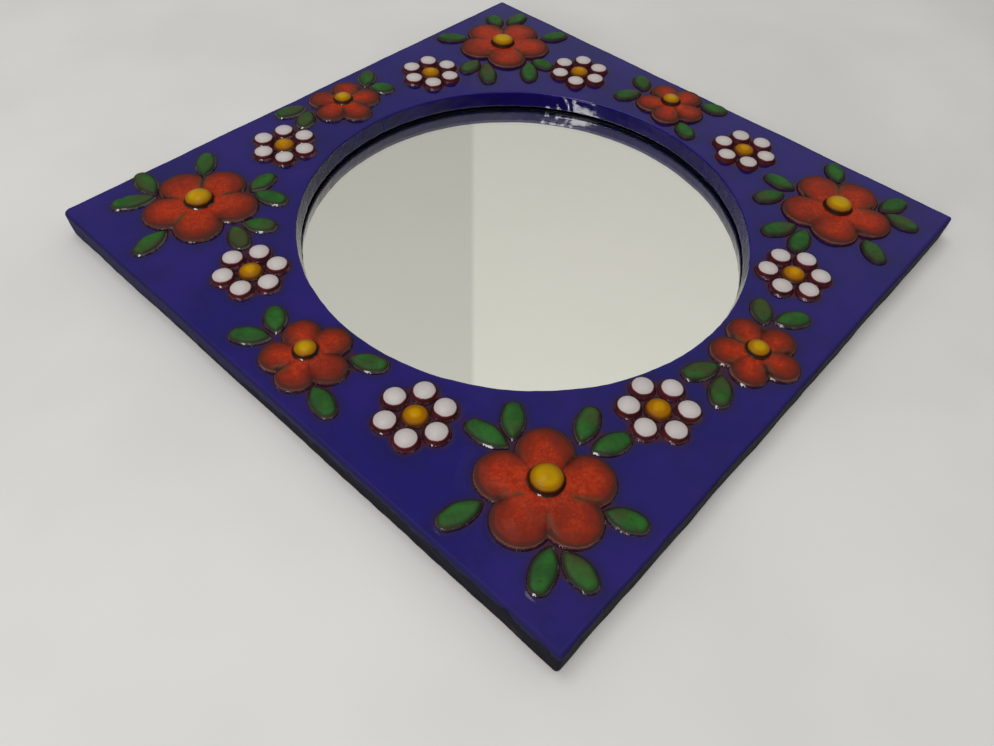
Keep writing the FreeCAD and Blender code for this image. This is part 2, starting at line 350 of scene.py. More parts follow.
def crease_distance(points, outline):
    """Distance from the creases that run in from the gaps; it grows towards their inner ends."""
    notches, middle = notch_points(outline)
    nearest = np.full(len(points), 1.0)
    for notch in notches:
        inward = (middle - notch) / np.linalg.norm(middle - notch)
        rel = points[:, :2] - notch
        along = np.clip(rel @ inward, 0, CREASE_RUN)
        off = np.linalg.norm(rel - np.outer(along, inward), axis=1)
        nearest = np.minimum(nearest, off + CREASE_FADE * along)
    return nearest


def relief_piece(node, material, seed, wobble, softness):
    """A glazed piece of relief: the solid softened and made uneven, with glaze round its foot."""
    mesh = clay_mesh(node, softness)
    points = mesh_points(mesh)
    normals = vertex_normals(mesh)
    low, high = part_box(node)
    outline = foot_outline(node)
    rise = points[:, 2] - low.z
    share = rise / (high.z - low.z)
    edge = distances(points, plan_tree(outline))

    across = np.hypot(normals[:, 0], normals[:, 1])
    sideways = normals[:, :2] / np.maximum(across, 1e-6)[:, None]
    skirt = SKIRT_WIDTH * np.clip(1 - rise / SKIRT_HEIGHT, 0, 1) ** 2 * smoothstep(across, *FLANK_SPAN)
    if "_flower_" in node:
        upward = smoothstep(normals[:, 2], *TOP_SPAN)
        rim = np.exp(-((edge - RIM_IN) / RIM_WIDTH) ** 2)
        crown = smoothstep(edge, CROWN_FROM, CROWN_TO)
        crease = crease_distance(points, outline)
        valley = np.exp(-(crease / CREASE_WIDTH) ** 2)
        points[:, 2] += upward * (RIM_HEIGHT * rim + CROWN_HEIGHT * crown - CREASE_DEPTH * valley)
        set_attribute(mesh, "crease", crease / MM)
    points[:, :2] += sideways * skirt[:, None]
    points += normals * (share * unevenness(points, wobble, WOBBLE_LENGTH, seed))[:, None]
    points[:, 2] -= FOOT_SINK * (1 - smoothstep(rise, SINK_FROM, SINK_TO))
    put_points(mesh, points)

    set_attribute(mesh, "rise", rise / MM)
    set_attribute(mesh, "edge", edge / MM)
    set_attribute(mesh, "skirt", skirt / MM)
    add_piece(node + "_glazed", mesh, material, node)


# The slab

def rounded_rectangle(half_x, half_y, radii, points_per_run, points_per_corner):
    """Points and outward normals round a rectangle; the radii start at its upper-right corner."""
    points = []
    normals = []
    corners = [(1, 1, 0), (-1, 1, 90), (-1, -1, 180), (1, -1, 270)]
    middles = [np.array([side_x * (half_x - radius), side_y * (half_y - radius)])
               for (side_x, side_y, _), radius in zip(corners, radii)]
    for index, (_, _, start) in enumerate(corners):
        for turn in np.linspace(0, 90, points_per_corner):
            angle = math.radians(start + turn)
            normal = np.array([math.cos(angle), math.sin(angle)])
            points.append(middles[index] + radii[index] * normal)
            normals.append(normal)
        after = (index + 1) % len(corners)
        begin = points[-1]
        end = middles[after] + radii[after] * normals[-1]
        for share in np.arange(1, points_per_run) / points_per_run:
            points.append(begin + share * (end - begin))
            normals.append(normals[-1])
    return np.array(points), np.array(normals)


def loft_faces(ring_count, count, closed):
    """Quads between rings of points that follow one another, seen from outside."""
    faces = []
    for this in range(ring_count if closed else ring_count - 1):
        after = (this + 1) % ring_count
        here, there = this * count, after * count
        for index in range(count):
            ahead = (index + 1) % count
            faces.append((here + index, there + index, there + ahead, here + ahead))
    return faces


def slab_mesh(relief_outlines):
    """The slab as rings of points, from the rebate over lip, face and sides to the back."""
    low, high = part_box(SLAB)
    face = high.z
    glass_low, glass_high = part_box(GLASS)
    middle = np.array([(glass_low.x + glass_high.x) / 2, (glass_low.y + glass_high.y) / 2])
    solid = node_points(SLAB)
    radius = np.hypot(solid[:, 0] - middle[0], solid[:, 1] - middle[1])
    lip_top = radius[solid[:, 2] > face - TOUCH].min()
    lip_foot = radius.min()
    ledge = solid[radius < lip_foot + TOUCH][:, 2].min()
    rebate = radius[solid[:, 2] < TOUCH].min()

    outline, normals = rounded_rectangle(high.x, high.y, CORNER_ROUNDS, RUN_POINTS, CORNER_POINTS)
    count = len(outline)
    lean = np.clip(LEAN_MIDDLE + outline @ (LEAN_BY_X / high.x, LEAN_BY_Y / high.y), 0, 1)[:, None]

    def inset_outline(inset):
        radii = [max(radius - inset, LEAST_ROUND) for radius in CORNER_ROUNDS]
        return rounded_rectangle(high.x - inset, high.y - inset, radii, RUN_POINTS, CORNER_POINTS)[0]

    def side_outline(inset):
        return outline + lean * (inset_outline(inset) - outline)

    spokes = outline - middle
    spokes /= np.linalg.norm(spokes, axis=1)[:, None]
    rings = []

    def circle(ring_radius, z):
        rings.append(np.column_stack([middle + spokes * ring_radius, np.full(count, z)]))

    def level_ring(ring_points, z):
        rings.append(np.column_stack([ring_points, np.full(count, z)]))

    for z in (0.0, ledge / 2, ledge):
        circle(rebate, z)
    ledge_ring = len(rings)
    circle((rebate + lip_foot) / 2, ledge)
    for turn in np.linspace(0, math.pi / 2, ROUND_RINGS):
        circle(lip_foot + LIP_FOOT_ROUND * (1 - math.sin(turn)),
               ledge + LIP_FOOT_ROUND * (1 - math.cos(turn)))
    wall_low = ledge + LIP_FOOT_ROUND
    wall_high = face - LIP_ROUND
    for share in np.arange(1, LIP_RINGS) / LIP_RINGS:
        circle(lip_foot + share * (lip_top - LIP_ROUND - lip_foot),
               wall_low + share * (wall_high - wall_low))
    for turn in np.linspace(0, math.pi / 2, ROUND_RINGS):
        circle(lip_top - LIP_ROUND * math.cos(turn), wall_high + LIP_ROUND * math.sin(turn))
    lip_rings = len(rings)
    inner = middle + spokes * lip_top
    outer = inset_outline(GLAZED_EDGE_ROUND)
    for share in np.arange(1, FACE_RINGS) / FACE_RINGS:
        level_ring(inner + share * (outer - inner), face)
    level_ring(inset_outline(GLAZED_EDGE_ROUND + ARRIS_MARGIN), face)
    face_rings = len(rings)
    for turn in np.linspace(0, math.pi / 2, ROUND_RINGS):
        level_ring(inset_outline(GLAZED_EDGE_ROUND * (1 - math.sin(turn))),
                   face - GLAZED_EDGE_ROUND * (1 - math.cos(turn)))
    side_high = face - GLAZED_EDGE_ROUND
    for share in np.arange(1, SIDE_RINGS + 1) / SIDE_RINGS:
        z = side_high + share * (FOOT_CHAMFER - side_high)
        level_ring(side_outline(UNDERCUT * (side_high - z) / face), z)
    side_rings = len(rings)
    foot = side_outline(UNDERCUT) + inset_outline(UNDERCUT + FOOT_CHAMFER) - inset_outline(UNDERCUT)
    for share in np.arange(BACK_RINGS) / BACK_RINGS:
        level_ring(foot + share * (middle + spokes * rebate - foot), 0.0)

    points = np.concatenate(rings)
    ring = np.repeat(np.arange(len(rings)), count)
    plan = np.column_stack([points[:, :2], np.zeros(len(points))])
    top = points[:, 2] > face - GLAZED_EDGE_ROUND
    relief_tree = plan_tree(relief_outlines)
    halo = np.full(len(points), HALO_REACH)
    halo[top] = np.minimum(distances(points[top], relief_tree), HALO_REACH)
    pool = np.zeros(len(points))
    close = top & (halo < POOL_REACH)
    pool[close] = crowding(points[close], relief_tree) * OUTLINE_STEP / POOL_REACH

    on_lip = (ring > ledge_ring) & (ring < lip_rings)
    on_face = (ring >= lip_rings) & (ring < face_rings)
    on_side = (ring >= face_rings) & (ring < side_rings)
    away = np.tile(spokes, (len(rings), 1))
    lip_wave = unevenness(plan, *LIP_SWELL) + unevenness(points, *LIP_GRAIN)
    runs = np.clip(unevenness(plan, *LIP_RUNS) - RUN_LEVEL, 0, 1)
    runs *= smoothstep(points[:, 2], face - RUN_BELOW_FACE, ledge)
    points[:, :2] += away * ((lip_wave - RUN_HEIGHT * runs) * on_lip)[:, None]
    from_edges = np.minimum(face_rings - ring, ring - lip_rings + 1)
    clear = smoothstep(halo, LEVEL_NEAR, LEVEL_UNTIL) * smoothstep(from_edges, 0, CALM_RINGS)
    face_wave = unevenness(plan, *FACE_SWELL) + unevenness(plan, *FACE_GRAIN)
    points[:, 2] += face_wave * clear * on_face
    points[:, 2] += FILLET_HEIGHT * np.exp(-halo / FILLET_REACH) * on_face
    outward = np.tile(normals, (len(rings), 1))
    side_wave = unevenness(plan, *SIDE_SWELL) + unevenness(points, *SIDE_GRAIN)
    points[:, :2] += outward * (side_wave * on_side)[:, None]

    mesh = bpy.data.meshes.new("slab")
    mesh.from_pydata(points.tolist(), [], loft_faces(len(rings), count, True))
    set_attribute(mesh, "halo", halo / MM)
    set_attribute(mesh, "pool", pool)
    turning = np.clip((ring - face_rings + 2) / (ROUND_RINGS + 1), 0, 1)
    set_attribute(mesh, "outer_side", turning * (ring < side_rings))
    set_attribute(mesh, "lip", on_lip)
    set_attribute(mesh, "glazed", (ring >= ledge_ring) & (ring < side_rings))
    return mesh


def round_outline(middle, radius, count):
    turns = np.linspace(0, 2 * math.pi, count, endpoint=False)
    return middle + radius * np.column_stack([np.cos(turns), np.sin(turns)])


def prism(outline, low, high):
    """A closed mesh over an outline, as points and faces."""
    count = len(outline)
    points = np.concatenate([np.column_stack([outline, np.full(count, z)]) for z in (high, low)])
    faces = loft_faces(2, count, False)
    faces.append(tuple(range(count)))
    faces.append(tuple(reversed(range(count, 2 * count))))
    return points, faces


def pocket_cutters():
    """The loop's pocket and the bore for its pins, measured on the slab's solid."""
    solid = node_points(SLAB)
    x, y, z = np.abs(solid[:, 0]), solid[:, 1], solid[:, 2]
    loop_low, loop_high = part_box(LOOP)
    slab_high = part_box(SLAB)[1]
    near = (x < loop_high.x + SEARCH_PAST_PINS) & (y > loop_low.y - SEARCH_MARGIN)
    near &= (z < slab_high.z / 2) & (np.hypot(x, y) < slab_high.y - SEARCH_MARGIN)
    mouth = near & (z < TOUCH) & (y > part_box(GLASS)[1].y + REBATE_MARGIN)
    half_width = x[mouth].max()
    low_y, high_y = y[mouth].min(), y[mouth].max()
    inside = near & (y > low_y - TOUCH) & (y < high_y + TOUCH)
    depth = z[inside].max()
    bore = inside & (x > half_width + TOUCH)
    bore_middle = np.array([y[bore].max() + y[bore].min(), z[bore].max() + z[bore].min()]) / 2
    bore_radius = (y[bore].max() - y[bore].min()) / 2
    bore_end = x[bore].max()

    pocket, _ = rounded_rectangle(half_width, (high_y - low_y) / 2, [POCKET_ROUND] * 4,
                                  2, POCKET_CORNER_POINTS)
    pocket_points, pocket_faces = prism(pocket + [0, (low_y + high_y) / 2], -CUT_PROUD, depth)
    bore_outline = round_outline(bore_middle, bore_radius, BORE_POINTS)
    bore_points, bore_faces = prism(bore_outline, -bore_end, bore_end)
    return [(pocket_points, pocket_faces), (bore_points[:, [2, 0, 1]], bore_faces)]


def cut_pocket(mesh):
    """Cut the loop's pocket and bore out of the slab; what the cut bares has no glaze."""
    slab = holder_of(mesh)
    cutters = []
    for points, faces in pocket_cutters():
        tool = bpy.data.meshes.new("cutter")
        tool.from_pydata(points.tolist(), [], faces)
        cutters.append(holder_of(tool))
        cut = slab.modifiers.new("cut", "BOOLEAN")
        cut.operation = "DIFFERENCE"
        cut.solver = "MANIFOLD"
        cut.object = cutters[-1]
    result = evaluated_mesh(slab)
    for cutter in cutters:
        bpy.data.objects.remove(cutter)
    return result


# Node materials

class Shader:
    """A material's node tree, with short ways to add what the glazes share."""

    def __init__(self, name):
        self.material = bpy.data.materials.new(name)
        self.material.use_nodes = True
        self.tree = self.material.node_tree
        self.tree.nodes.clear()
        output = self.tree.nodes.new("ShaderNodeOutputMaterial")
        self.surface = self.tree.nodes.new("ShaderNodeBsdfPrincipled")
        self.link(self.surface.outputs["BSDF"], output.inputs["Surface"])
        self.place = self.tree.nodes.new("ShaderNodeTexCoord").outputs["Object"]

    def link(self, source, target):
        self.tree.links.new(source, target)

    def feed(self, socket, value):
        """Link an output to a socket, or set a plain value on it."""
        if isinstance(value, bpy.types.NodeSocket):
            self.link(value, socket)
        else:
            socket.default_value = value

    def set(self, **values):
        for name, value in values.items():
            self.feed(self.surface.inputs[name.replace("_", " ")], value)

    def attribute(self, name):
        node = self.tree.nodes.new("ShaderNodeAttribute")
        node.attribute_name = name
        return node.outputs["Fac"]

    def noise(self, size, detail=3.0, rough=0.55):
        """Noise whose patches are about this many metres across."""
        node = self.tree.nodes.new("ShaderNodeTexNoise")
        self.link(self.place, node.inputs["Vector"])
        node.inputs["Scale"].default_value = 1 / size
        node.inputs["Detail"].default_value = detail
        node.inputs["Roughness"].default_value = rough
        return node.outputs["Fac"]

    def range(self, value, low, high, to_low=0.0, to_high=1.0):
        node = self.tree.nodes.new("ShaderNodeMapRange")
        node.interpolation_type = "SMOOTHSTEP"
        self.feed(node.inputs["Value"], value)
        node.inputs["From Min"].default_value = low
        node.inputs["From Max"].default_value = high
        node.inputs["To Min"].default_value = to_low
        node.inputs["To Max"].default_value = to_high
        return node.outputs["Result"]

    def jitter(self, value, size, amount):
        """A value made ragged by noise, up or down by about this amount."""
        return self.math("ADD", value, self.range(self.noise(size), 0.25, 0.75, -amount, amount))

    def band(self, value, begin, full, fade, end):
        """1 between two limits, easing off outside them."""
        return self.math("MULTIPLY", self.range(value, begin, full), self.range(value, fade, end, 1.0, 0.0))

    def math(self, operation, first, second):
        node = self.tree.nodes.new("ShaderNodeMath")
        node.operation = operation
        self.feed(node.inputs[0], first)
        self.feed(node.inputs[1], second)
        return node.outputs["Value"]

    def mix(self, factor, first, second):
        node = self.tree.nodes.new("ShaderNodeMix")
        node.data_type = "RGBA"
        self.feed(node.inputs["Factor"], factor)
        self.feed(node.inputs["A"], first)
        self.feed(node.inputs["B"], second)
        return node.outputs["Result"]

    def bump(self, height, distance, strength=1.0):
        node = self.tree.nodes.new("ShaderNodeBump")
        node.inputs["Strength"].default_value = strength
        node.inputs["Distance"].default_value = distance
        self.link(height, node.inputs["Height"])
        self.link(node.outputs["Normal"], self.surface.inputs["Normal"])

    def along(self, axis):
        """How far along X, Y or Z a point is in the frame."""
        node = self.tree.nodes.new("ShaderNodeSeparateXYZ")
        self.link(self.place, node.inputs["Vector"])
        return node.outputs[axis]


# Glazes and clay
BLUE_DEEP = srgb(13, 4, 88)
BLUE_VIOLET = srgb(24, 9, 94)
BLUE_DARK = srgb(10, 4, 60)
BLUE_SIDE = srgb(30, 29, 62)
BLUE_LIP = srgb(11, 6, 60)
# Blue glaze at the foot of the flowers and leaves, darkened as painted shade there
BLUE_FOOT_AND_PAINTED_SHADE = srgb(24, 12, 42)
MAROON_FOOT = srgb(36, 10, 32)
# Plum tint of the relief's glaze on the ground close to it, deepened as painted shade
PLUM_TINT_AND_PAINTED_SHADE = srgb(34, 12, 46)
MAROON_POOL = srgb(52, 12, 20)
SLATE = srgb(13, 13, 24)
# Umber: speckles on the flanks; also painted shade in the flowers' creases and round the buttons' feet
UMBER = srgb(34, 16, 12)
CLAY = srgb(142, 88, 62)
CLAY_PALE = srgb(170, 118, 88)
CLAY_BURNT = srgb(52, 38, 30)

# Flowers: the petals from the middle out, the creases between them, and the flank below
RED = srgb(150, 44, 15)
RED_DEEP = srgb(131, 32, 12)
RED_DULL = srgb(102, 30, 18)
RED_SPECK = srgb(188, 84, 50)
# Petals darker towards their edges: painted shade of their domed tops
RED_PAINTED_SHADE = srgb(84, 28, 18)
RED_BRIM = srgb(62, 34, 31)
BRIM_LINE = srgb(140, 98, 86)
# Darker red along the creases between petals: painted shade in the valleys
CREASE_PAINTED_SHADE = srgb(86, 20, 12)
CREASE_OLIVE = srgb(84, 58, 30)
RED_FLANK = srgb(54, 17, 13)

# Leaves, from the middle out
GREEN = srgb(28, 84, 22)
GREEN_DEEP = srgb(20, 66, 19)
GREEN_OLIVE = srgb(52, 54, 26)
GREEN_SPECK = srgb(14, 34, 16)
# Leaves darker towards their edges: painted shade of their pillowed tops
GREEN_PAINTED_SHADE = srgb(32, 44, 30)
LEAF_BRIM = srgb(48, 42, 36)
# Pale line near the leaf's edge: glaze thinning over the edge, and painted sheen of the glaze there
LEAF_LINE_AND_PAINTED_SHEEN = srgb(104, 82, 66)
LEAF_FLANK = srgb(46, 40, 33)

# Where the glaze on the slab's sides runs out, above the back, and how much lower it runs at +Y
GLAZE_END = 10.2 * MM
GLAZE_FADE = 0.9 * MM
GLAZE_DROP = 9.0 * MM
DROP_SPAN = (-120 * MM, 120 * MM)

# Along X, from where to where the glaze at the foot of the relief loses its shine
FOOT_SHINE_SPAN = (-20 * MM, 100 * MM)

# The lip is darker below the face; this fades out between these heights below the face
LIP_GLAZE_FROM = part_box(SLAB)[1].z - 1.1 * MM
LIP_GLAZE_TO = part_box(SLAB)[1].z - 0.3 * MM


def slab_material():
    s = Shader("blue_glaze")
    blue = s.mix(s.range(s.noise(0.05, 4), 0.35, 0.65), BLUE_DEEP, BLUE_VIOLET)
    blue = s.mix(s.range(s.noise(0.018, 4), 0.45, 0.75, 0.0, 0.45), blue, BLUE_DARK)
    halo = s.jitter(s.attribute("halo"), 0.004, 0.4)
    # Painted shade round the foot of the relief: the ground grows darker towards it, and plum-tinted close
    # to it, part glaze tint and part painted shade
    blue = s.mix(s.range(halo, 1.0, 6.0, 0.35, 0.0), blue, BLUE_DARK)
    blue = s.mix(s.range(halo, 0.6, 2.4, 0.55, 0.0), blue, PLUM_TINT_AND_PAINTED_SHADE)
    pool = s.math("MULTIPLY", s.range(s.attribute("pool"), 2.8, 4.6), s.range(halo, 0.8, 2.0, 0.9, 0.0))
    blue = s.mix(pool, blue, MAROON_POOL)
    z = s.along("Z")
    run = s.jitter(s.jitter(z, 0.010, 1.8 * MM), 0.003, 0.5 * MM)
    run = s.math("ADD", run, s.range(s.along("Y"), *DROP_SPAN, 0.0, GLAZE_DROP))
    outer = s.attribute("outer_side")
    bare_side = s.math("MULTIPLY", outer, s.range(run, GLAZE_END, GLAZE_END + GLAZE_FADE, 1.0, 0.0))
    colour = s.mix(s.range(outer, 0.0, 0.8, 0.0, 0.95), blue, BLUE_SIDE)
    slate = s.mix(s.range(s.noise(0.014), 0.66, 0.78), SLATE, CLAY_BURNT)
    colour = s.mix(bare_side, colour, slate)
    lip = s.math("MULTIPLY", s.attribute("lip"), s.range(z, LIP_GLAZE_FROM, LIP_GLAZE_TO, 1.0, 0.0))
    lip_share = s.math("MULTIPLY", lip, s.range(s.noise(0.02), 0.3, 0.7, 0.55, 0.95))
    colour = s.mix(lip_share, colour, BLUE_LIP)
    clay = s.mix(s.range(s.noise(0.008), 0.3, 0.7), CLAY, CLAY_PALE)
    bare = s.math("SUBTRACT", 1.0, s.attribute("glazed"))
    colour = s.mix(bare, colour, clay)
    rough = s.math("MAXIMUM", s.range(outer, 0.06, 0.08, 0.08, 0.6), s.range(bare, 0.0, 1.0, 0.08, 0.85))
    shine = s.math("ADD", s.range(outer, 0.0, 0.6, 0.24, 0.05), s.range(lip, 0.0, 1.0, 0.0, 0.40))
    s.set(Base_Color=colour, Roughness=rough, IOR=1.5, Specular_IOR_Level=shine)
    s.bump(s.math("MULTIPLY", s.noise(0.003, 2), s.range(lip, 0.0, 1.0, 1.0, 3.0)), 0.00003)
    return s.material


def finish_relief(s, colour, flank, flank_top, cap_rough, shine, cap_edge, ground):
    """Set a relief's surface. Thin glaze leaves the flank darker and dull; the ground's glaze
    climbs the foot and shines, more so towards -X where it ran thicker. The ground colours given for
    the flowers, leaves and buttons are darkened as painted shade at the foot. Heights are in millimetres."""
    rise = s.attribute("rise")
    flank = s.mix(s.range(s.noise(0.006), 0.40, 0.65, 0.0, 0.6), flank, UMBER)
    flank_end = s.jitter(rise, 0.004, 0.15)
    colour = s.mix(s.range(flank_end, flank_top - 0.3, flank_top + 0.3, 0.95, 0.0), colour, flank)
    # The foot takes the ground colour given, which for the flowers, leaves and buttons holds painted shade
    # at the foot
    colour = s.mix(s.range(s.jitter(s.attribute("skirt"), 0.003, 0.12), 0.12, 0.40), colour, ground)
    cap = s.range(s.attribute("edge"), 0.5 * cap_edge, 1.5 * cap_edge)
    foot = s.range(rise, 0.95, 1.3, 1.0, 0.0)
    foot = s.math("MULTIPLY", foot, s.range(s.noise(0.005), 0.38, 0.55, 0.2, 1.0))
    foot = s.math("MULTIPLY", foot, s.range(s.along("X"), *FOOT_SHINE_SPAN, 1.0, 0.15))
    rough = s.math("ADD", s.math("MULTIPLY", cap, cap_rough), s.range(cap, 0.0, 1.0, 0.5, 0.0))
    rough = s.math("MULTIPLY", rough, s.range(foot, 0.0, 1.0, 1.0, 0.12))
    level = s.math("MAXIMUM", s.range(foot, 0.0, 1.0, 0.0, 0.8), s.range(cap, 0.0, 1.0, 0.05, shine))
    s.set(Base_Color=colour, Roughness=rough, IOR=1.5, Specular_IOR_Level=level)


def flower_material():
    s = Shader("red_glaze")
    red = s.mix(s.range(s.noise(0.0014, 4), 0.35, 0.65), RED, RED_DEEP)
    red = s.mix(s.range(s.noise(0.022), 0.45, 0.70, 0.0, 0.8), red, RED_DULL)
    edge = s.jitter(s.jitter(s.attribute("edge"), 0.004, 0.35), 0.016, 0.6)
    speckle = s.range(s.noise(0.0008, 2), 0.56, 0.68)
    speckle = s.math("MULTIPLY", speckle, s.range(edge, 5.0, 9.0, 0.0, 0.22))
    red = s.mix(speckle, red, RED_SPECK)
    # Painted shade: the petals grow darker towards their edges, as on a lit cushion
    red = s.mix(s.range(edge, 1.5, 8.5, 0.85, 0.0), red, RED_PAINTED_SHADE)
    crease = s.jitter(s.attribute("crease"), 0.004, 0.5)
    patch = s.math("MULTIPLY", s.range(crease, 1.2, 3.6, 1.0, 0.0), s.range(s.noise(0.010), 0.46, 0.6))
    colour = s.mix(patch, red, CREASE_OLIVE)
    # Painted shade along the creases, darker red towards them
    colour = s.mix(s.range(crease, 0.6, 3.4, 0.6, 0.0), colour, CREASE_PAINTED_SHADE)
    colour = s.mix(s.range(edge, 1.3, 2.1, 0.85, 0.0), colour, RED_BRIM)
    # Painted shade deepest in the creases, in umber, patchy
    painted_crease_shade = s.range(crease, 0.3, 1.8, 0.85, 0.0)
    painted_crease_shade = s.math("MULTIPLY", painted_crease_shade, s.range(s.noise(0.020), 0.40, 0.60, 0.15, 1.0))
    colour = s.mix(painted_crease_shade, colour, UMBER)
    line = s.band(s.attribute("edge"), 0.10, 0.20, 0.28, 0.46)
    line = s.math("MULTIPLY", line, s.range(s.noise(0.010), 0.35, 0.65, 0.08, 0.40))
    colour = s.mix(line, colour, BRIM_LINE)
    rough = s.range(s.noise(0.004), 0.3, 0.7, 0.26, 0.38)
    finish_relief(s, colour, RED_FLANK, flank_top=1.0, cap_rough=rough, shine=0.08, cap_edge=2.2,
                  ground=BLUE_FOOT_AND_PAINTED_SHADE)
    s.bump(s.noise(0.0016, 3), 0.00005)
    return s.material


def pad_material(name, cap, cap_shade_and_mottle, flank, flank_top, cap_from, cap_to, shine, ground):
    """A round pad: a coloured cap over a darker flank. Heights, and the distances from the edge
    where the cap begins and is full, are in millimetres."""
    s = Shader(name)
    edge = s.jitter(s.attribute("edge"), 0.003, 0.12)
    # Painted shade: the cap grows deeper in tone towards its edge, as on a lit dome; the next line also
    # mottles it with the same colour at random
    top = s.mix(s.range(edge, cap_to, cap_to + 2.5), cap_shade_and_mottle, cap)
    top = s.mix(s.range(s.noise(0.012), 0.45, 0.75, 0.0, 0.5), top, cap_shade_and_mottle)
    colour = s.mix(s.range(edge, cap_from, cap_to), flank, top)
    rough = s.range(s.noise(0.005), 0.3, 0.7, 0.14, 0.22)
    finish_relief(s, colour, flank, flank_top, rough, shine, cap_to, ground)
    s.bump(s.noise(0.0025, 2), 0.00002)
    return s.material


def leaf_material():
    s = Shader("green_glaze")
    green = s.mix(s.range(s.noise(0.008, 3), 0.35, 0.65), GREEN, GREEN_DEEP)
    green = s.mix(s.range(s.noise(0.020), 0.48, 0.64, 0.0, 0.8), green, GREEN_OLIVE)
    green = s.mix(s.range(s.noise(0.0016, 3), 0.58, 0.72, 0.0, 0.5), green, GREEN_SPECK)
    edge = s.jitter(s.attribute("edge"), 0.003, 0.25)
    # Painted shade: the leaves grow darker towards their edges, as on a lit pillow
    green = s.mix(s.range(edge, 0.6, 3.0, 0.6, 0.0), green, GREEN_PAINTED_SHADE)
    colour = s.mix(s.range(edge, 0.2, 0.9, 0.85, 0.0), green, LEAF_BRIM)
    # A pale line near the edge, part glaze thinning over it and part painted sheen
    line = s.band(s.attribute("edge"), 0.1, 0.25, 0.4, 0.6)
    line = s.math("MULTIPLY", line, s.range(s.noise(0.008), 0.42, 0.62))
    colour = s.mix(s.math("MULTIPLY", line, 0.5), colour, LEAF_LINE_AND_PAINTED_SHEEN)
    rough = s.range(s.noise(0.005), 0.3, 0.7, 0.40, 0.50)
    finish_relief(s, colour, LEAF_FLANK, flank_top=1.45, cap_rough=rough, shine=0.16, cap_edge=1.2,
                  ground=BLUE_FOOT_AND_PAINTED_SHADE)
    s.bump(s.noise(0.002, 2), 0.00004)
    return s.material


def glass_material():
    s = Shader("clear_glass")
    tint = s.mix(s.range(s.noise(0.09), 0.3, 0.7), (0.985, 0.99, 0.985, 1), (0.99, 0.99, 0.99, 1))
    s.set(Base_Color=tint, Transmission_Weight=1.0, Roughness=0.0, IOR=1.5)
    return s.material


def silver_material():
    s = Shader("silvering")
    tint = s.mix(s.range(s.noise(0.09), 0.3, 0.7), (0.90, 0.905, 0.89, 1), (0.92, 0.92, 0.905, 1))
    s.set(Base_Color=tint, Metallic=1.0, Roughness=s.range(s.noise(0.05), 0.3, 0.7, 0.0, 0.008))
    return s.material


def putty_material():
    s = Shader("putty")
    s.set(Base_Color=s.mix(s.range(s.noise(0.004), 0.3, 0.7), srgb(17, 15, 27), srgb(27, 24, 34)),
          Roughness=s.range(s.noise(0.003), 0.3, 0.7, 0.75, 0.95))
    s.bump(s.noise(0.002, 3), 0.0002)
    return s.material


def board_material():
    s = Shader("board")
    fibres = s.mix(s.range(s.noise(0.0015, 4), 0.3, 0.7), srgb(112, 78, 48), srgb(88, 58, 36))
    s.set(Base_Color=s.mix(s.range(s.noise(0.03), 0.4, 0.7), fibres, srgb(126, 92, 60)),
          Roughness=s.range(s.noise(0.002), 0.3, 0.7, 0.7, 0.9))
    s.bump(s.noise(0.0012, 3), 0.0001)
    return s.material


def wire_material():
    s = Shader("steel_wire")
    tint = s.mix(s.range(s.noise(0.003), 0.35, 0.65), (0.56, 0.56, 0.57, 1), (0.44, 0.43, 0.42, 1))
    s.set(Base_Color=tint, Metallic=1.0, Roughness=s.range(s.noise(0.002), 0.3, 0.7, 0.25, 0.42))
    s.bump(s.noise(0.0008, 2), 0.00003)
    return s.material


def dress_node(node, material):
    """Give a CAD node that keeps its own shape its finish."""
    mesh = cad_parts[node].data
    mesh.materials.clear()
    mesh.materials.append(material)


def mirror_piece():
    """The glass, silvered on its back, which stands just clear of the board behind it."""
    low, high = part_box(GLASS)
    middle = np.array([low.x + high.x, low.y + high.y]) / 2
    radius = (high.x - low.x) / 2 - GLASS_CLEARANCE
    outline = round_outline(middle, radius, GLASS_POINTS)
    points, faces = prism(outline, low.z + GLASS_CLEARANCE, high.z)
    mesh = bpy.data.meshes.new("glass")
    mesh.from_pydata(points.tolist(), [], faces)
    add_piece("mirror_glass_silvered", mesh, glass_material(), GLASS)
    mesh.materials.append(silver_material())
    for polygon in mesh.polygons:
        if polygon.normal.z < -0.5:
            polygon.material_index = 1


# Build the object

nodes = sorted(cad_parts)
relief_on_slab = [n for n in nodes if n.startswith("daisy_") or "_flower_" in n or "_leaves_" in n]
outlines = np.concatenate([foot_outline(n) for n in relief_on_slab])

add_piece("frame_slab_glazed", cut_pocket(slab_mesh(outlines)), slab_material(), SLAB)

red = flower_material()
green = leaf_material()
